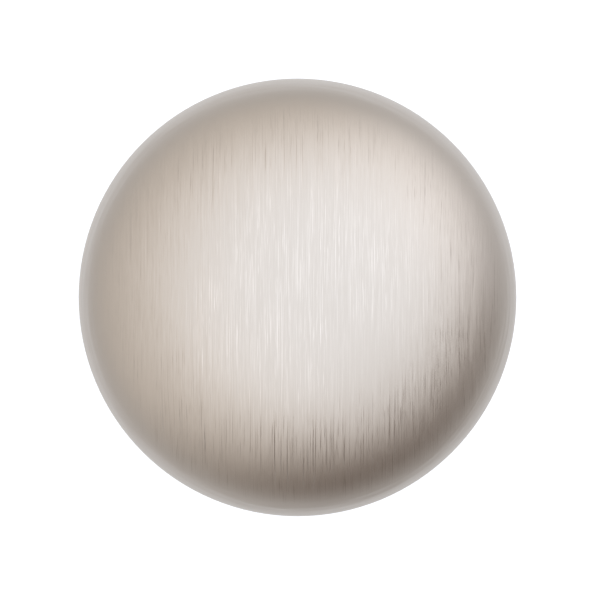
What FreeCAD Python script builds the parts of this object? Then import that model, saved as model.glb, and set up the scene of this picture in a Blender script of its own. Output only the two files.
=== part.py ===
import FreeCAD, Part
import math
import os
import Sketcher

# Round mushroom knob for a cabinet door or drawer, cast and turned as one piece.
# Its base lies on Z = 0, where the door's face would be, and its axis is Z, out to the hand.

# Driving dimensions in millimetres and degrees: alias, value, what it sets
DRIVING_SIZES = [
    ("head_diameter", 31.75, "widest part of the head, 1 1/4 in"),
    ("projection", 27.0, "from the door's face to the top of the crown"),
    ("crown_rise", 7.7, "height of the domed face above the widest part"),
    ("rim_round", 3.4, "round under the rim, where the fingertips pull"),
    ("neck_diameter", 11.0, "narrowest part of the waist"),
    ("foot_diameter", 17.5, "foot that sits on the door"),
    ("foot_edge_height", 1.6, "height of the foot's edge up to its top round"),
    ("foot_round", 0.9, "round on the foot's top edge"),
    ("base_edge_round", 0.35, "small round where the foot meets the door"),
    ("bearing_ring_width", 2.45, "ring of the base that bears on the door, round a shallow dish"),
    ("dish_depth", 0.55, "depth of the dish"),
    ("dish_round", 0.3, "round at the corner of the dish's floor"),
    ("screw_diameter", 4.166, "8-32 UNC fixing screw, over its thread"),
    ("thread_pitch", 0.794, "32 turns to the inch"),
    ("hole_depth", 13.5, "straight wall of the screw hole, from the dish's floor"),
    ("drill_point_angle", 118.0, "cone at the hole's blind end"),
    ("mouth_clearance", 0.43, "how much wider than the screw the countersunk mouth is"),
    ("mouth_angle", 90.0, "included angle of the mouth"),
]

# The hole is drilled for tapping, one pitch smaller than the screw
TAP_DRILL = "sizes.screw_diameter - sizes.thread_pitch"
MOUTH = "sizes.screw_diameter + sizes.mouth_clearance"
DISH = "sizes.foot_diameter - 2 * sizes.bearing_ring_width"

ORIGIN_POINT = (-1, 1)
START, END, CENTRE = 1, 2, 3
UP = FreeCAD.Vector(0, 0, 1)
TOLERANCE = FreeCAD.Base.Precision.confusion()


def add_sheet(doc):
    """Spreadsheet of the driving dimensions, one named cell each."""
    sheet = doc.addObject("Spreadsheet::Sheet", "sizes")
    for row, (alias, value, meaning) in enumerate(DRIVING_SIZES, start=1):
        sheet.set(f"A{row}", alias)
        sheet.set(f"B{row}", str(value))
        sheet.set(f"C{row}", meaning)
        sheet.setAlias(f"B{row}", alias)
    doc.recompute()
    return sheet


def new_sketch(body, name, plane_role, from_below=False):
    """Sketch on one of the body's own origin planes, facing down if from_below."""
    plane = next(item for item in body.Origin.OriginFeatures if item.Role == plane_role)
    sketch = body.newObject("Sketcher::SketchObject", name)
    sketch.AttachmentSupport = (plane, [""])
    sketch.MapMode = "FlatFace"
    sketch.MapReversed = from_below
    return sketch


def bind(sketch, name, expression, *definition):
    """Dimension of a sketch, tied to the sheet by an expression."""
    index = sketch.addConstraint(Sketcher.Constraint(*definition))
    sketch.renameConstraint(index, name)
    sketch.setExpression(f"Constraints.{name}", expression)


def arc(centre_x, centre_y, radius, from_angle, to_angle):
    """Counterclockwise arc in a sketch, angles in radians."""
    circle = Part.Circle(FreeCAD.Vector(centre_x, centre_y, 0), UP, radius)
    return Part.ArcOfCircle(circle, from_angle, to_angle)


def line(start_x, start_y, end_x, end_y):
    """Straight line in a sketch."""
    return Part.LineSegment(FreeCAD.Vector(start_x, start_y, 0), FreeCAD.Vector(end_x, end_y, 0))


def quarter_ellipse(half_width, bottom, top):
    """Quarter of an ellipse as a conic, whose middle pole is the corner of the box round it."""
    poles = [
        FreeCAD.Vector(half_width, bottom, 0),
        FreeCAD.Vector(half_width, top, 0),
        FreeCAD.Vector(0, top, 0),
    ]
    weights = [1, math.cos(math.pi / 4), 1]
    # One span of the second degree, clamped at both ends
    conic = Part.BSplineCurve()
    conic.buildFromPolesMultsKnots(poles, [3, 3], [0, 1], False, 2, weights)
    return conic


def expose_poles(sketch, spline):
    """The construction circles that stand for a spline's poles, in order."""
    last_before = sketch.GeometryCount
    sketch.exposeInternalGeometry(spline)
    exposed = range(last_before, sketch.GeometryCount)
    return [index for index in exposed if isinstance(sketch.Geometry[index], Part.Circle)]


def draw_section(body, sheet):
    """Half section of the knob: foot, one cove up the waist, rim round and elliptical crown."""
    head_radius = sheet.head_diameter / 2
    neck_radius = sheet.neck_diameter / 2
    foot_radius = sheet.foot_diameter / 2
    equator = sheet.projection - sheet.crown_rise

    # First guess at the cove, which the tangents below make exact
    overhangs = math.sqrt(head_radius - neck_radius) + math.sqrt(foot_radius - neck_radius)
    cove_height = equator - sheet.foot_edge_height
    cove_radius = ((cove_height / overhangs) ** 2 + sheet.rim_round) / 2
    cove_x = neck_radius + cove_radius
    cove_y = sheet.foot_edge_height + cove_height * math.sqrt(foot_radius - neck_radius) / overhangs
    to_rim = math.atan2(equator - cove_y, head_radius - sheet.rim_round - cove_x)
    to_foot = math.atan2(sheet.foot_edge_height - cove_y, foot_radius - sheet.foot_round - cove_x)

    sketch = new_sketch(body, "turned_section", "XZ_Plane")
    base = sketch.addGeometry(line(0, 0, foot_radius - sheet.base_edge_round, 0))
    base_edge = sketch.addGeometry(
        arc(foot_radius - sheet.base_edge_round, sheet.base_edge_round,
            sheet.base_edge_round, -math.pi / 2, 0))
    foot_side = sketch.addGeometry(
        line(foot_radius, sheet.base_edge_round, foot_radius, sheet.foot_edge_height))
    foot_top = sketch.addGeometry(
        arc(foot_radius - sheet.foot_round, sheet.foot_edge_height,
            sheet.foot_round, 0, to_foot + math.pi))
    cove = sketch.addGeometry(arc(cove_x, cove_y, cove_radius, to_rim, to_foot + 2 * math.pi))
    rim = sketch.addGeometry(
        arc(head_radius - sheet.rim_round, equator, sheet.rim_round, to_rim - math.pi, 0))
    axis = sketch.addGeometry(line(0, 0, 0, sheet.projection))
    throat = sketch.addGeometry(Part.Point(FreeCAD.Vector(neck_radius, cove_y, 0)))
    sketch.toggleConstruction(throat)
    crown_curve = quarter_ellipse(head_radius, equator, sheet.projection)
    crown = sketch.addGeometry(crown_curve)
    _, corner_pole, _ = expose_poles(sketch, crown)
    _, corner_weight, _ = crown_curve.getWeights()

    # The outline is one smooth chain, closed by the axis
    sketch.addConstraint([
        Sketcher.Constraint("Coincident", base, START, *ORIGIN_POINT),
        Sketcher.Constraint("Coincident", axis, START, *ORIGIN_POINT),
        Sketcher.Constraint("Horizontal", base),
        Sketcher.Constraint("Vertical", axis),
        Sketcher.Constraint("Vertical", foot_side),
        Sketcher.Constraint("Tangent", base, END, base_edge, START),
        Sketcher.Constraint("Tangent", base_edge, END, foot_side, START),
        Sketcher.Constraint("Tangent", foot_side, END, foot_top, START),
        Sketcher.Constraint("Tangent", foot_top, END, cove, END),
        Sketcher.Constraint("Tangent", cove, START, rim, START),
        Sketcher.Constraint("Coincident", rim, END, crown, START),
        Sketcher.Constraint("Horizontal", rim, CENTRE, rim, END),
        Sketcher.Constraint("Coincident", crown, END, axis, END),
        Sketcher.Constraint("Vertical", crown, START, corner_pole, CENTRE),
        Sketcher.Constraint("Horizontal", corner_pole, CENTRE, crown, END),
        Sketcher.Constraint("Weight", corner_pole, corner_weight),
        Sketcher.Constraint("PointOnObject", throat, START, cove),
        Sketcher.Constraint("Horizontal", throat, START, cove, CENTRE),
    ])
    bind(sketch, "projection", "sizes.projection", "Distance", axis, sheet.projection)
    bind(sketch, "head_radius", "sizes.head_diameter / 2",
         "DistanceX", *ORIGIN_POINT, crown, START, head_radius)
    bind(sketch, "crown_height", "sizes.crown_rise",
         "DistanceY", crown, START, crown, END, sheet.crown_rise)
    bind(sketch, "rim_radius", "sizes.rim_round", "Radius", rim, sheet.rim_round)
    bind(sketch, "neck_radius", "sizes.neck_diameter / 2",
         "DistanceX", *ORIGIN_POINT, throat, START, neck_radius)
    bind(sketch, "foot_radius", "sizes.foot_diameter / 2",
         "DistanceX", *ORIGIN_POINT, foot_side, END, foot_radius)
    bind(sketch, "foot_edge", "sizes.foot_edge_height",
         "DistanceY", *ORIGIN_POINT, foot_side, END, sheet.foot_edge_height)
    bind(sketch, "foot_top_radius", "sizes.foot_round", "Radius", foot_top, sheet.foot_round)
    bind(sketch, "base_edge_radius", "sizes.base_edge_round",
         "Radius", base_edge, sheet.base_edge_round)
    return sketch


def turn_blank(doc, body, section):
    """The whole outside, revolved from its half section."""
    blank = body.newObject("PartDesign::Revolution", "turned_blank")
    blank.Profile = section
    blank.ReferenceAxis = (section, ["V_Axis"])
    blank.Angle = 360
    doc.recompute()
    return blank


def draw_circle(body, name, diameter):
    """Circle on the knob's axis, on the base plane and seen from below."""
    sketch = new_sketch(body, name, "XY_Plane", from_below=True)
    unit_circle = Part.Circle()
    circle = sketch.addGeometry(unit_circle)
    sketch.addConstraint(Sketcher.Constraint("Coincident", circle, CENTRE, *ORIGIN_POINT))
    bind(sketch, "across", diameter, "Diameter", circle, 2 * unit_circle.Radius)
    return sketch


def name_of_circle(shape, radius, height):
    """Name of the circular edge of this radius that lies at this height on the axis."""
    for number, edge in enumerate(shape.Edges, start=1):
        curve = edge.Curve
        if not isinstance(curve, Part.Circle):
            continue
        centre = FreeCAD.Vector(0, 0, height)
        if math.isclose(curve.Radius, radius) and curve.Center.isEqual(centre, TOLERANCE):
            return f"Edge{number}"
    raise RuntimeError(f"no circle of radius {radius} at height {height}")


def sink_dish(doc, body, sheet):
    """Shallow round dish in the base, so that only a ring bears on the door."""
    outline = draw_circle(body, "dish_outline", DISH)
    dish = body.newObject("PartDesign::Pocket", "base_dish")
    dish.Profile = outline
    dish.Type = "Length"
    dish.setExpression("Length", "sizes.dish_depth")
    doc.recompute()

    radius = outline.getDatum("across").Value / 2
    corner = body.newObject("PartDesign::Fillet", "dish_corner")
    corner.Base = (dish, [name_of_circle(dish.Shape, radius, sheet.dish_depth)])
    corner.setExpression("Radius", "sizes.dish_round")
    doc.recompute()
    return corner


def drill_hole(doc, body):
    """Blind hole for the fixing screw, with a countersunk mouth in the dish's floor."""
    mark = draw_circle(body, "hole_mark", TAP_DRILL)
    mark.setExpression("AttachmentOffset.Base.z", "-sizes.dish_depth")
    doc.recompute()
    hole = body.newObject("PartDesign::Hole", "screw_hole")
    hole.Profile = mark
    hole.Threaded = False
    hole.DepthType = "Dimension"
    hole.DrillPoint = "Angled"
    hole.HoleCutType = "Countersink"
    hole.setExpression("Diameter", TAP_DRILL)
    hole.setExpression("Depth", "sizes.hole_depth")
    hole.setExpression("DrillPointAngle", "sizes.drill_point_angle")
    hole.setExpression("HoleCutDiameter", MOUTH)
    hole.setExpression("HoleCutCountersinkAngle", "sizes.mouth_angle")
    doc.recompute()
    return hole


def build_knob(doc, sheet):
    """The knob's one solid, with each cut checked to take metal away."""
    knob = doc.addObject("PartDesign::Body", "knob")
    knob.Label = "knob"
    section = draw_section(knob, sheet)
    doc.recompute()
    if not section.FullyConstrained:
        raise RuntimeError("the half section still has a free dimension")
    blank = turn_blank(doc, knob, section)
    dished = sink_dish(doc, knob, sheet)
    drilled = drill_hole(doc, knob)
    if not blank.Shape.Volume > dished.Shape.Volume > drilled.Shape.Volume > 0:
        raise RuntimeError("the dish or the screw hole took nothing away")
    return knob


def check_document(doc):
    """Every object has to be computed, and every body a valid solid."""
    doc.recompute()
    for item in doc.Objects:
        if "Invalid" in item.State or "Error" in item.State:
            raise RuntimeError(f"{item.Name} could not be computed: {item.State}")
    for body in doc.findObjects("PartDesign::Body"):
        if body.Shape.isNull() or not body.Shape.isValid() or len(body.Shape.Solids) != 1:
            raise RuntimeError(f"{body.Name} is not one valid solid")


def export_bodies(doc):
    """One STEP file for each body, named by its label."""
    os.makedirs("parts", exist_ok=True)
    for body in doc.findObjects("PartDesign::Body"):
        body.Shape.exportStep(os.path.join("parts", body.Label + ".step"))
        box = body.Shape.optimalBoundingBox(True, False)
        print(f"{body.Label}: {box.XLength:.3f} x {box.YLength:.3f} x {box.ZLength:.3f} mm,"
              f" {body.Shape.Volume / 1000:.3f} cm3")


doc = FreeCAD.newDocument("cabinet_knob")
sheet = add_sheet(doc)
build_knob(doc, sheet)
check_document(doc)
export_bodies(doc)
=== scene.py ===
import math

import bpy
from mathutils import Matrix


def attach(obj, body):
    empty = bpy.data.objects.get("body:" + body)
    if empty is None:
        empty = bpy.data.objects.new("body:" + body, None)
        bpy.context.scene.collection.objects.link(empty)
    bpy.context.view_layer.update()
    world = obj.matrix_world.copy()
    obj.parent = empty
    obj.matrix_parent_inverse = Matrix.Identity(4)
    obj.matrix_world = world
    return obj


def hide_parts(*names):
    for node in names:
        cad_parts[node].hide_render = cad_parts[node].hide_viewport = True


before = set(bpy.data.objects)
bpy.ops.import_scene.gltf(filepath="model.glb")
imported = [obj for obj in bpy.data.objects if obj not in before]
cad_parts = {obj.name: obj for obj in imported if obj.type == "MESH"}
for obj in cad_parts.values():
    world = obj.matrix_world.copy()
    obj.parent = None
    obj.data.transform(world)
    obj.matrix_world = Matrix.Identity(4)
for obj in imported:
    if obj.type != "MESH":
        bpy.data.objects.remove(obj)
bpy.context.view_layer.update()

MM = 0.001

# The knob's sizes in millimetres and degrees, as in its CAD source
HEAD_RADIUS = 31.75 / 2
PROJECTION = 27.0
CROWN_RISE = 7.7
RIM_ROUND = 3.4
NECK_RADIUS = 11.0 / 2
FOOT_RADIUS = 17.5 / 2
FOOT_EDGE_HEIGHT = 1.6
FOOT_ROUND = 0.9
BASE_EDGE_ROUND = 0.35
BEARING_RING_WIDTH = 2.45
DISH_DEPTH = 0.55
DISH_ROUND = 0.3
SCREW_DIAMETER = 4.166
THREAD_PITCH = 0.794
HOLE_DEPTH = 13.5
DRILL_POINT_ANGLE = 118.0
MOUTH_CLEARANCE = 0.43
MOUTH_ANGLE = 90.0

# The thread: the flats at its root and its crest as shares of its pitch, and how far short of the
# drilled depth the tap stops
ROOT_FLAT, CREST_FLAT = 1 / 8, 1 / 4
TAP_STOPS_SHORT = 1.2

EQUATOR = PROJECTION - CROWN_RISE
DISH_RADIUS = FOOT_RADIUS - BEARING_RING_WIDTH
MOUTH_RADIUS = (SCREW_DIAMETER + MOUTH_CLEARANCE) / 2
THREAD_DEPTH = THREAD_PITCH / 2
TAP_RADIUS = SCREW_DIAMETER / 2 - THREAD_DEPTH
WALL_START = DISH_DEPTH + (MOUTH_RADIUS - TAP_RADIUS) / math.tan(math.radians(MOUTH_ANGLE / 2))
WALL_END = DISH_DEPTH + HOLE_DEPTH
THREAD_END = WALL_END - TAP_STOPS_SHORT

# Columns of faces round the knob, and rings along the curves of its section
COLUMNS = 128
CROWN_RINGS = 56
RIM_RINGS = 20
COVE_RINGS = 40
FOOT_ROUND_RINGS = 8
SMALL_ROUND_RINGS = 5
RINGS_A_TURN_OF_THREAD = 8
# An edge that bends more than this many degrees is shaded as a sharp one
SHARP_EDGE = 35.0
# How closely the cove is fitted, in millimetres
COVE_FIT = 1e-9

# The straight brushing fades out between these shares of the head's radius
STRAIGHT_BRUSHING_ENDS = (0.97, 0.91)
# Between these shares some of its lines start to lean outwards, and stop
LEAN_STARTS, LEAN_ENDS = (0.40, 0.74), (0.90, 0.78)
# They lean most towards the near right: degrees round from +X, and how much more than the rest
LEAN_SIDE, LEAN_SIDE_MORE = 310, 0.12
# Between these shares painted shade starts in the grooves, and stops
GROOVES_START, GROOVES_END = (0.76, 0.86), (0.95, 0.88)
# It is painted on the near right: degrees round from +X, and cosines of the angle off it
GROOVES_SIDE, GROOVES_SPREAD = 295, (-0.1, 0.6)

# What brush_marks gives for each point of the mesh, in its order
BRUSH_MARKS = ("straight_brushing", "outward_lean", "painted_groove_shade")
# The mesh's two finishes, in the order of its materials
PLATED, CUT = 0, 1


def linear(hex_colour):
    """An sRGB hex colour as linear RGBA."""
    shades = [int(hex_colour[i:i + 2], 16) / 255 for i in (1, 3, 5)]
    return [s / 12.92 if s <= 0.04045 else ((s + 0.055) / 1.055) ** 2.4 for s in shades] + [1.0]


def smooth_step(low, high, value):
    """0 at low, 1 at high, and a smooth rise between; low may be the larger."""
    share = min(1.0, max(0.0, (value - low) / (high - low)))
    return share * share * (3 - 2 * share)


def empty_tree(owner):
    """The node tree of a new material or world, without the nodes that it comes with."""
    owner.use_nodes = True
    owner.node_tree.nodes.clear()
    return owner.node_tree


def add(tree, kind, inputs=None, **settings):
    """A node with its settings, and its inputs as values or as links from other nodes."""
    made = tree.nodes.new(kind)
    for name, value in settings.items():
        setattr(made, name, value)
    for socket, value in (inputs or {}).items():
        if isinstance(value, bpy.types.NodeSocket):
            tree.links.new(value, made.inputs[socket])
        else:
            made.inputs[socket].default_value = value
    return made


def put_in_scene(name, data):
    """A new object of the scene, made of this mesh or camera."""
    made = bpy.data.objects.new(name, data)
    bpy.context.scene.collection.objects.link(made)
    return made


def arc(centre_r, centre_z, radius, start, end, rings):
    """Points of the section along an arc, angles in radians, without its first point."""
    angles = [start + (end - start) * i / rings for i in range(1, rings + 1)]
    return [(centre_r + radius * math.cos(a), centre_z + radius * math.sin(a)) for a in angles]


def drop(round_r, round_radius, cove_radius):
    """Height between the cove's centre and that of a round that it runs into smoothly."""
    reach = round_r - NECK_RADIUS
    return math.sqrt((cove_radius + round_radius) ** 2 - (cove_radius - reach) ** 2)


def fit_cove(rim_r, foot_r):
    """Radius of the one cove that runs into both the rim's round and the foot's."""
    span = EQUATOR - FOOT_EDGE_HEIGHT
    low, high = rim_r - NECK_RADIUS, span
    while high - low > COVE_FIT:
        middle = (low + high) / 2
        if drop(rim_r, RIM_ROUND, middle) + drop(foot_r, FOOT_ROUND, middle) < span:
            low = middle
        else:
            high = middle
    return low


def outside_section():
    """The knob's outside from the top of the crown to the base ring, as (radius, height)."""
    quarter = math.pi / 2
    crown = [(0.0, PROJECTION)]
    for i in range(1, CROWN_RINGS + 1):
        angle = quarter * (1 - i / CROWN_RINGS)
        crown.append((HEAD_RADIUS * math.cos(angle), EQUATOR + CROWN_RISE * math.sin(angle)))

    rim_r = HEAD_RADIUS - RIM_ROUND
    foot_r = FOOT_RADIUS - FOOT_ROUND
    edge_r = FOOT_RADIUS - BASE_EDGE_ROUND
    cove_radius = fit_cove(rim_r, foot_r)
    cove_r = NECK_RADIUS + cove_radius
    cove_z = EQUATOR - drop(rim_r, RIM_ROUND, cove_radius)
    to_rim = math.atan2(EQUATOR - cove_z, rim_r - cove_r)
    to_foot = math.atan2(FOOT_EDGE_HEIGHT - cove_z, foot_r - cove_r) % (2 * math.pi)
    return (
        crown
        + arc(rim_r, EQUATOR, RIM_ROUND, 0, to_rim - math.pi, RIM_RINGS)
        + arc(cove_r, cove_z, cove_radius, to_rim, to_foot, COVE_RINGS)
        + arc(foot_r, FOOT_EDGE_HEIGHT, FOOT_ROUND, to_foot - math.pi, 0, FOOT_ROUND_RINGS)
        + [(FOOT_RADIUS, BASE_EDGE_ROUND)]
        + arc(edge_r, BASE_EDGE_ROUND, BASE_EDGE_ROUND, 0, -quarter, SMALL_ROUND_RINGS)
        + [(DISH_RADIUS, 0.0)]
    )


def dish_section():
    """The shallow dish in the base, down to the screw hole's countersunk mouth."""
    corner_r, corner_z = DISH_RADIUS - DISH_ROUND, DISH_DEPTH - DISH_ROUND
    return (
        [(DISH_RADIUS, corner_z)]
        + arc(corner_r, corner_z, DISH_ROUND, 0, math.pi / 2, SMALL_ROUND_RINGS)
        + [((corner_r + MOUTH_RADIUS) / 2, DISH_DEPTH), (MOUTH_RADIUS, DISH_DEPTH)]
    )


def hole_section():
    """The screw hole from the foot of its mouth to the drill's point, at tapping size."""
    length = WALL_END - WALL_START
    rings = math.ceil(length / THREAD_PITCH * RINGS_A_TURN_OF_THREAD)
    wall = [(TAP_RADIUS, WALL_START + length * i / rings) for i in range(rings + 1)]
    point = WALL_END + TAP_RADIUS / math.tan(math.radians(DRILL_POINT_ANGLE / 2))
    return wall + [(TAP_RADIUS / 2, (WALL_END + point) / 2), (0.0, point)]


def thread_cut(height, turn):
    """How far the thread is cut into the hole's wall, at a height and a share of a turn.

    It starts within half a pitch at the foot of the mouth, and runs out over its last pitch.
    """
    along = height / THREAD_PITCH - turn
    off_groove = abs(along - round(along)) * 2
    share = min(1.0, max(0.0, (1 - CREST_FLAT - off_groove) / (1 - CREST_FLAT - ROOT_FLAT)))
    starts = smooth_step(WALL_START, WALL_START + THREAD_PITCH / 2, height)
    ends = smooth_step(THREAD_END, THREAD_END - THREAD_PITCH, height)
    return THREAD_DEPTH * share * starts * ends


def brush_marks(out, around):
    """What the brush did to the crown, at a share of its radius and an angle round it.

    How straight the lines run, how far some lean outwards and how much painted shade the grooves
    get.
    """
    straight = smooth_step(*STRAIGHT_BRUSHING_ENDS, out)
    lean = smooth_step(*LEAN_STARTS, out) * smooth_step(*LEAN_ENDS, out)
    lean *= 1 + LEAN_SIDE_MORE * math.cos(around - math.radians(LEAN_SIDE))
    # Painted shade in the grooves, in a ring near the rim on the near right
    grooves = smooth_step(*GROOVES_START, out) * smooth_step(*GROOVES_END, out)
    grooves *= smooth_step(*GROOVES_SPREAD, math.cos(around - math.radians(GROOVES_SIDE)))
    return straight, lean, grooves


def turned_mesh():
    """The whole knob as rings of quads round its axis, with the thread cut into its hole."""
    plated = outside_section() + dish_section()
    section = plated + hole_section()

    vertices, marks, ring_starts = [], [], []
    for ring, (radius, height) in enumerate(section):
        ring_starts.append(len(vertices))
        on_axis = ring in (0, len(section) - 1)
        for column in range(1 if on_axis else COLUMNS):
            turn = column / COLUMNS
            around = 2 * math.pi * turn
            reach = radius + (thread_cut(height, turn) if ring >= len(plated) else 0.0)
            x, y = reach * math.cos(around), reach * math.sin(around)
            vertices.append((x * MM, y * MM, height * MM))
            on_crown = ring <= CROWN_RINGS
            marks.append(brush_marks(radius / HEAD_RADIUS, around) if on_crown else (0.0,) * 3)

    faces, finishes = [], []
    for ring in range(len(section) - 1):
        here, below = ring_starts[ring], ring_starts[ring + 1]
        for column in range(COLUMNS):
            beside = (column + 1) % COLUMNS
            if ring == 0:
                faces.append((here, below + column, below + beside))
            elif ring == len(section) - 2:
                faces.append((here + column, below, here + beside))
            else:
                faces.append((here + column, below + column, below + beside, here + beside))
            finishes.append(CUT if ring >= len(plated) else PLATED)

    mesh = bpy.data.meshes.new("turned_knob")
    mesh.from_pydata(vertices, [], faces)
    for name, values in zip(BRUSH_MARKS, zip(*marks)):
        mesh.attributes.new(name, "FLOAT", "POINT").data.foreach_set("value", values)
    mesh.polygons.foreach_set("material_index", finishes)
    mesh.polygons.foreach_set("use_smooth", [True] * len(faces))
    mesh.set_sharp_from_angle(angle=math.radians(SHARP_EDGE))
    return mesh


# Satin nickel plate, brushed: a warm grey metal that blurs what it mirrors into soft bands, and
# that shows the brush as fine streaks, straight across the face and round the side, with painted
# highlight on ridges in the crown's middle and painted shade in grooves near the rim. Seen at a
# grazing angle it mirrors less than plain metal does.
NICKEL = "#c9c4c1"
NICKEL_EDGE = "#e7e7e5"
NICKEL_ROUGHNESS = 0.42
NICKEL_ANISOTROPY = 0.2
# A line on the face in millimetres, drawn about twice as wide as a real one, which is too fine
# to show
LINE_WIDTH = 0.045
LONG_LINE, SHORT_LINE, SHORT_LINE_SHARE = 5.0, 1.0, 0.42
LINE_DETAIL = 1.0
# How far a line wanders sideways, and over what length
WANDER, WANDER_LENGTH = 0.4, 9.0
# How far apart along the brush lines that lie side by side start, and how wide one of them is
STAGGER, STAGGER_WIDTH = 18.0, 0.08
# A line on the side, where the knob turned against the brush: its width, drawn coarse enough to
# show, and its share of a turn
TURNED_WIDTH, TURNED_SHARE = 0.25, 0.45
TURNED_DETAIL, TURNED_CRISPNESS = 3.0, 0.7
# How far the lines tilt the surface across them, on the side and on the face
SIDE_TILT, FACE_TILT = 0.55, 0.44
# A few lines lean outwards as well, by this much: where in the noise they start and where they
# are full, and how much of the lean goes across the lines
LEAN, LEAN_FROM, LEAN_FULL, LEAN_ACROSS = 0.76, 0.53, 0.80, 0.62
# Painted highlight: the ridges are painted paler in patches of the crown's middle, where the
# overhead
# light is mirrored: where in the noise they start and where they are full, the same for the
# patches, and the middle in millimetres off the axis
RIDGE_PAINTED_HIGHLIGHT = "#f0ecec"
RIDGE_FROM, RIDGE_FULL = 0.48, 0.78
PATCH_FROM, PATCH_FULL = 0.20, 0.55
MIDDLE_FROM, MIDDLE_FULL = 15.0, 4.0
# Painted shade in the grooves near the rim: where in the noise it starts and is full
GROOVE_PAINTED_SHADE = "#a39c97"
GROOVE_FROM, GROOVE_FULL = 0.47, 0.27


def straight_lines(tree, place, wander):
    """Noise of the face's lines: stretched along Y, it reaches right through Z."""
    wandered = add(tree, "ShaderNodeVectorMath", {
        0: wander, 1: (WANDER * MM, 0, 0), 2: place,
    }, operation="MULTIPLY_ADD").outputs[0]
    rows = add(tree, "ShaderNodeVectorMath", {
        0: place, 1: (1 / (STAGGER_WIDTH * MM), 0, 0),
    }, operation="MULTIPLY").outputs[0]
    stagger = add(tree, "ShaderNodeTexNoise", {
        "Vector": rows, "Scale": 1.0, "Detail": 0.0,
    }).outputs["Color"]
    staggered = add(tree, "ShaderNodeVectorMath", {
        0: stagger, 1: (0, STAGGER * MM, 0), 2: wandered,
    }, operation="MULTIPLY_ADD").outputs[0]
    lines = []
    for length in (LONG_LINE, SHORT_LINE):
        stretched = add(tree, "ShaderNodeVectorMath", {
            0: staggered, 1: (1 / (LINE_WIDTH * MM), 1 / (length * MM), 0),
        }, operation="MULTIPLY").outputs[0]
        lines.append(add(tree, "ShaderNodeTexNoise", {
            "Vector": stretched, "Scale": 1.0, "Detail": LINE_DETAIL,
        }).outputs["Color"])
    return add(tree, "ShaderNodeMix", {
        "Factor": SHORT_LINE_SHARE, 6: lines[0], 7: lines[1],
    }, data_type="RGBA").outputs[2]


def round_lines(tree, place, direction, radius):
    """Noise of the side's lines: stretched round the axis."""
    height = add(tree, "ShaderNodeSeparateXYZ", {0: place}).outputs["Z"]
    upwards = add(tree, "ShaderNodeCombineXYZ", {"Z": height}).outputs[0]
    up_widths = add(tree, "ShaderNodeVectorMath", {
        0: upwards, "Scale": 1 / (TURNED_WIDTH * MM),
    }, operation="SCALE").outputs[0]
    stretched = add(tree, "ShaderNodeVectorMath", {
        0: direction, 1: (1 / TURNED_SHARE,) * 3, 2: up_widths,
    }, operation="MULTIPLY_ADD").outputs[0]
    out_widths = add(tree, "ShaderNodeMath", {
        0: radius, 1: 1 / (TURNED_WIDTH * MM),
    }, operation="MULTIPLY").outputs[0]
    return add(tree, "ShaderNodeTexNoise", {
        "Vector": stretched, "W": out_widths, "Scale": 1.0,
        "Detail": TURNED_DETAIL, "Roughness": TURNED_CRISPNESS,
    }, noise_dimensions="4D").outputs["Color"]


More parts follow.
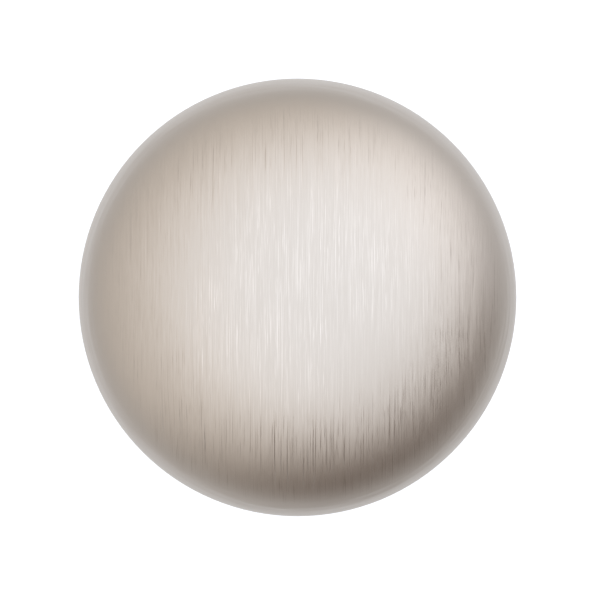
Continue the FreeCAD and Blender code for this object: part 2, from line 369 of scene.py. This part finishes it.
def satin_nickel():
    """Satin nickel plate over zinc, brushed."""
    material = bpy.data.materials.new("satin_nickel_plate_brushed")
    tree = empty_tree(material)
    place = add(tree, "ShaderNodeTexCoord").outputs["Object"]
    normal = add(tree, "ShaderNodeNewGeometry").outputs["Normal"]
    straight, leaning, painted_groove_mark = (
        add(tree, "ShaderNodeAttribute", attribute_name=name).outputs["Fac"]
        for name in BRUSH_MARKS
    )
    outwards = add(tree, "ShaderNodeVectorMath", {
        0: place, 1: (1, 1, 0),
    }, operation="MULTIPLY").outputs[0]
    direction = add(tree, "ShaderNodeVectorMath", {0: outwards}, operation="NORMALIZE").outputs[0]
    radius = add(tree, "ShaderNodeVectorMath", {0: outwards}, operation="LENGTH").outputs["Value"]

    wander = add(tree, "ShaderNodeTexNoise", {
        "Vector": place, "Scale": 1 / (WANDER_LENGTH * MM), "Detail": 0.0,
    }).outputs["Color"]
    patches = add(tree, "ShaderNodeSeparateXYZ", {0: wander}).outputs["Y"]
    face = add(tree, "ShaderNodeSeparateXYZ", {0: straight_lines(tree, place, wander)}).outputs
    side_lines = round_lines(tree, place, direction, radius)
    side = add(tree, "ShaderNodeSeparateXYZ", {0: side_lines}).outputs

    # How much some lines lean, and how much painted highlight the ridges and painted shade the
    # grooves get: a mark of the brush, times a share for each value that has to lie high or low
    # enough
    amounts = []
    for amount, shares in (
        (leaning, [(face["Y"], LEAN_FROM, LEAN_FULL, LEAN)]),
        (straight, [
            (radius, MIDDLE_FROM * MM, MIDDLE_FULL * MM, 1.0),
            (patches, PATCH_FROM, PATCH_FULL, 1.0),
            (face["Z"], RIDGE_FROM, RIDGE_FULL, 1.0),
        ]),
        (painted_groove_mark, [(face["Z"], GROOVE_FROM, GROOVE_FULL, 1.0)]),
    ):
        for value, start, full, most in shares:
            share = add(tree, "ShaderNodeMapRange", {
                "Value": value, "From Min": start, "From Max": full, "To Max": most,
            }, interpolation_type="SMOOTHSTEP").outputs[0]
            amount = add(tree, "ShaderNodeMath", {
                0: share, 1: amount,
            }, operation="MULTIPLY").outputs[0]
        amounts.append(amount)
    lean, pale, dark = amounts

    # Across the lines: where the straight ones are faint, across the ones round the side
    round_axis = add(tree, "ShaderNodeVectorMath", {
        0: (0, 0, 1), 1: direction,
    }, operation="CROSS_PRODUCT").outputs[0]
    on_face = add(tree, "ShaderNodeMath", {
        0: straight, 1: 0.5,
    }, operation="GREATER_THAN").outputs[0]
    along = add(tree, "ShaderNodeMix", {
        "Factor": on_face, 4: round_axis, 5: (0, 1, 0),
    }, data_type="VECTOR").outputs[1]
    across = add(tree, "ShaderNodeVectorMath", {
        0: along, 1: normal,
    }, operation="CROSS_PRODUCT").outputs[0]

    # The lines tilt the surface across them, and some of those on the face outwards too
    tilts = []
    for noise, most in ((side["X"], SIDE_TILT), (face["X"], FACE_TILT)):
        tilts.append(add(tree, "ShaderNodeMapRange", {
            "Value": noise, "To Min": -most / 2, "To Max": most / 2,
        }).outputs[0])
    across_amount = add(tree, "ShaderNodeMix", {
        "Factor": straight, 2: tilts[0], 3: tilts[1],
    }).outputs[0]
    across_tilt = add(tree, "ShaderNodeVectorMath", {
        0: across, "Scale": across_amount,
    }, operation="SCALE").outputs[0]
    leaning_towards = add(tree, "ShaderNodeVectorMath", {
        0: direction, 1: (LEAN_ACROSS, 1, 0),
    }, operation="MULTIPLY").outputs[0]
    outward_tilt = add(tree, "ShaderNodeVectorMath", {
        0: leaning_towards, "Scale": lean,
    }, operation="SCALE").outputs[0]
    tilt = add(tree, "ShaderNodeVectorMath", {
        0: across_tilt, 1: outward_tilt,
    }, operation="ADD").outputs[0]
    tilted = add(tree, "ShaderNodeVectorMath", {
        0: normal, 1: tilt,
    }, operation="ADD").outputs[0]
    brushed_normal = add(tree, "ShaderNodeVectorMath", {
        0: tilted,
    }, operation="NORMALIZE").outputs[0]

    # The nickel's colour, with the painted highlight on the ridges and the painted shade in the
    # grooves
    colour = linear(NICKEL)
    for amount, lined in ((pale, RIDGE_PAINTED_HIGHLIGHT), (dark, GROOVE_PAINTED_SHADE)):
        colour = add(tree, "ShaderNodeMix", {
            "Factor": amount, 6: colour, 7: linear(lined),
        }, data_type="RGBA").outputs[2]

    shader = add(tree, "ShaderNodeBsdfPrincipled", {
        "Base Color": colour,
        "Metallic": 1.0,
        "Roughness": NICKEL_ROUGHNESS,
        "Anisotropic": NICKEL_ANISOTROPY,
        "Specular Tint": linear(NICKEL_EDGE),
        "Normal": brushed_normal,
        "Tangent": across,
    })
    add(tree, "ShaderNodeOutputMaterial", {"Surface": shader.outputs[0]})
    return material


# Zinc alloy, cut by the drill and the tap after plating: a duller, bluer grey than the nickel
ZINC = "#a9adb0"
ZINC_ROUGHNESS = 0.42
# A tool mark in millimetres: its width up the hole, its length and its depth
TOOL_MARK_WIDTH, TOOL_MARK_LENGTH, TOOL_MARK_DEPTH = 0.12, 5 / 3, 0.02
TOOL_MARK_DETAIL, TOOL_MARK_STRENGTH = 2.0, 0.6


def cut_zinc():
    """Bare zinc alloy in the screw hole, as the drill and the tap left it."""
    material = bpy.data.materials.new("zinc_alloy_cut")
    tree = empty_tree(material)
    place = add(tree, "ShaderNodeTexCoord").outputs["Object"]
    lengths, widths = 1 / (TOOL_MARK_LENGTH * MM), 1 / (TOOL_MARK_WIDTH * MM)
    squeezed = add(tree, "ShaderNodeVectorMath", {
        0: place, 1: (lengths, lengths, widths),
    }, operation="MULTIPLY").outputs[0]
    marks = add(tree, "ShaderNodeTexNoise", {
        "Vector": squeezed, "Scale": 1.0, "Detail": TOOL_MARK_DETAIL,
    }).outputs["Fac"]
    bump = add(tree, "ShaderNodeBump", {
        "Height": marks, "Distance": TOOL_MARK_DEPTH * MM, "Strength": TOOL_MARK_STRENGTH,
    }).outputs[0]
    shader = add(tree, "ShaderNodeBsdfPrincipled", {
        "Base Color": linear(ZINC),
        "Metallic": 1.0,
        "Roughness": ZINC_ROUGHNESS,
        "Normal": bump,
    })
    add(tree, "ShaderNodeOutputMaterial", {"Surface": shader.outputs[0]})
    return material


def make_knob():
    """The knob in its finishes, in place of the plain solid."""
    mesh = turned_mesh()
    mesh.materials.append(satin_nickel())
    mesh.materials.append(cut_zinc())
    knob = put_in_scene("turned_knob", mesh)
    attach(knob, "root")
    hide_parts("knob")


# The table top: matt laminate, which mirrors nothing and looks white in a painted pool of light
# round the knob
FLOOR_COLOUR = "#c0bebb"
# Its side in metres
FLOOR_SIDE = 6.0
# How far it lies under the base ring in millimetres, so that they aren't in one plane
FLOOR_GAP = 0.02
# Patches of the table top in millimetres: the middle, how far from it the patch starts and
# where it is full, and the levels outside and inside it. The pool is a painted pool of light, a
# glow that the camera and the metal see. Close round the foot the glow is cut back as a painted
# shadow of the head, so that the shadow shows there. The colour is painted darker towards the
# near right.
POOL_COLOUR = "#edf5ff"
POOL = {"middle": (-2.0, 7.0), "edge": (86.0, 26.0), "levels": (0.0, 0.75)}
# A painted shadow: the glow is cut back close round the foot, under the head
FOOT_PAINTED_SHADOW = {"middle": (0.0, 0.0), "edge": (15.5, 8.0), "levels": (1.0, 0.45)}
# Painted shade: the table's colour darkens towards the near right, beyond the knob
FAR_PAINTED_SHADE_COLOUR = "#a5a29f"
FAR_PAINTED_SHADE = {"middle": (80.0, -140.0), "edge": (124.0, 60.0), "levels": (0.0, 1.0)}


def white_table_top():
    """Matt laminate, which looks white in a painted pool of light round the knob."""
    material = bpy.data.materials.new("white_table_top_matt")
    tree = empty_tree(material)
    place = add(tree, "ShaderNodeTexCoord").outputs["Object"]
    levels = []
    for patch in (POOL, FOOT_PAINTED_SHADOW, FAR_PAINTED_SHADE):
        x, y = patch["middle"]
        away = add(tree, "ShaderNodeVectorMath", {
            0: place, 1: (x * MM, y * MM, 0),
        }, operation="DISTANCE").outputs["Value"]
        levels.append(add(tree, "ShaderNodeMapRange", {
            "Value": away,
            "From Min": patch["edge"][0] * MM, "From Max": patch["edge"][1] * MM,
            "To Min": patch["levels"][0], "To Max": patch["levels"][1],
        }, interpolation_type="SMOOTHSTEP").outputs[0])
    pool, shade, far_painted_shade = levels

    paths = add(tree, "ShaderNodeLightPath").outputs
    seen = paths["Is Camera Ray"]
    for path in (paths["Is Glossy Ray"], paths["Is Transmission Ray"]):
        seen = add(tree, "ShaderNodeMath", {0: seen, 1: path}, operation="MAXIMUM").outputs[0]
    # The painted pool of light, cut back round the foot as a painted shadow, glows for the camera
    # and the metal
    glow = seen
    for level in (pool, shade):
        glow = add(tree, "ShaderNodeMath", {0: glow, 1: level}, operation="MULTIPLY").outputs[0]

    # The table's colour, painted darker towards the near right as painted shade
    colour = add(tree, "ShaderNodeMix", {
        "Factor": far_painted_shade, 6: linear(FLOOR_COLOUR), 7: linear(FAR_PAINTED_SHADE_COLOUR),
    }, data_type="RGBA").outputs[2]
    shader = add(tree, "ShaderNodeBsdfPrincipled", {
        "Base Color": colour,
        "Roughness": 1.0,
        "Specular IOR Level": 0.0,
        "Emission Color": linear(POOL_COLOUR),
        "Emission Strength": glow,
    })
    add(tree, "ShaderNodeOutputMaterial", {"Surface": shader.outputs[0]})
    return material


def make_floor():
    """A plain table top under the knob."""
    half = FLOOR_SIDE / 2
    mesh = bpy.data.meshes.new("floor")
    corners = [(-half, -half, 0), (half, -half, 0), (half, half, 0), (-half, half, 0)]
    mesh.from_pydata(corners, [], [(0, 1, 2, 3)])
    mesh.materials.append(white_table_top())
    floor = put_in_scene("floor", mesh)
    floor.location.z = -FLOOR_GAP * MM


# The room: a soft white light overhead with a warmer rim, a cooler panel low on the far right,
# warm pale walls and a dark corner on the near right. Directions are degrees round from +X and
# down from +Z, and edges are degrees from the middle, where the light starts and where it is
# full.
SOFTBOX = {"round": 28, "down": 10, "edge": (71, 21), "colour": "#fcfeff", "level": 1.425}
SOFTBOX_RIM = {"colour": "#fff2e1", "level": 1.74}
PANEL = {"round": 35, "down": 73, "edge": (46, 0), "colour": "#eff5ff", "level": 0.49}
CORNER = {"round": 311, "down": 112, "edge": (101, 40), "colour": "#ffae64", "level": 0.08}
WALL = {"colour": "#fff3e4", "level": 0.80}
HORIZON = {"colour": "#fffbf2", "level": 0.585}
# Degrees above the horizon where the walls reach their full level
HORIZON_BAND = 10


def lit(light):
    """A light's colour at its level, as linear RGBA."""
    return [c * light["level"] for c in linear(light["colour"])[:3]] + [1.0]


def light_room():
    """The world as a plain studio."""
    world = bpy.data.worlds.new("studio")
    bpy.context.scene.world = world
    tree = empty_tree(world)
    direction = add(tree, "ShaderNodeTexCoord").outputs["Generated"]
    height = add(tree, "ShaderNodeSeparateXYZ", {0: direction}).outputs["Z"]
    up_wall = add(tree, "ShaderNodeMapRange", {
        "Value": height, "From Max": math.sin(math.radians(HORIZON_BAND)),
    }, interpolation_type="SMOOTHSTEP").outputs[0]

    # How much of each light is seen in a direction
    shares = []
    for light in (SOFTBOX, PANEL, CORNER):
        turn, down = math.radians(light["round"]), math.radians(light["down"])
        flat = math.sin(down)
        facing = add(tree, "ShaderNodeVectorMath", {
            0: direction, 1: (flat * math.cos(turn), flat * math.sin(turn), math.cos(down)),
        }, operation="DOT_PRODUCT").outputs["Value"]
        start, full = (math.cos(math.radians(edge)) for edge in light["edge"])
        shares.append(add(tree, "ShaderNodeMapRange", {
            "Value": facing, "From Min": start, "From Max": full,
        }, interpolation_type="SMOOTHSTEP").outputs[0])
    overhead, in_panel, in_corner = shares

    softbox = add(tree, "ShaderNodeMix", {
        "Factor": overhead, 6: lit(SOFTBOX_RIM), 7: lit(SOFTBOX),
    }, data_type="RGBA").outputs[2]
    room = lit(HORIZON)
    for share, layer, blend in (
        (up_wall, lit(WALL), "MIX"),
        (in_corner, lit(CORNER), "MIX"),
        (overhead, softbox, "MIX"),
        (in_panel, lit(PANEL), "ADD"),
    ):
        room = add(tree, "ShaderNodeMix", {
            "Factor": share, 6: room, 7: layer,
        }, data_type="RGBA", blend_type=blend).outputs[2]
    background = add(tree, "ShaderNodeBackground", {"Color": room, "Strength": 1.0})
    add(tree, "ShaderNodeOutputWorld", {"Surface": background.outputs[0]})


# The photograph looks straight down on the face with a long lens. Pixels count from its top left
# corner, the lens and the sensor are in millimetres.
FRAME_PIXELS = 600
HEAD_RADIUS_PIXELS = 218.9
HEAD_CENTRE_PIXELS = (297.0, 296.9)
LENS, SENSOR = 250.0, 36.0


def place_camera():
    """Camera straight over the face, with the head as large as in the photograph."""
    data = bpy.data.cameras.new("camera")
    data.lens = LENS
    data.sensor_width = SENSOR
    # The line of sight grazes the crown a little above its widest ring
    pixels_a_radian = FRAME_PIXELS * LENS / SENSOR
    reach = pixels_a_radian * HEAD_RADIUS / HEAD_RADIUS_PIXELS
    above_equator = math.sqrt(reach ** 2 + CROWN_RISE ** 2)
    pixel = HEAD_RADIUS / HEAD_RADIUS_PIXELS
    middle = (FRAME_PIXELS - 1) / 2
    camera = put_in_scene("camera", data)
    camera.location = (
        (middle - HEAD_CENTRE_PIXELS[0]) * pixel * MM,
        (HEAD_CENTRE_PIXELS[1] - middle) * pixel * MM,
        (EQUATOR + above_equator) * MM,
    )
    bpy.context.scene.camera = camera


make_knob()
make_floor()
light_room()
place_camera()
bpy.context.scene.view_settings.view_transform = "Standard"
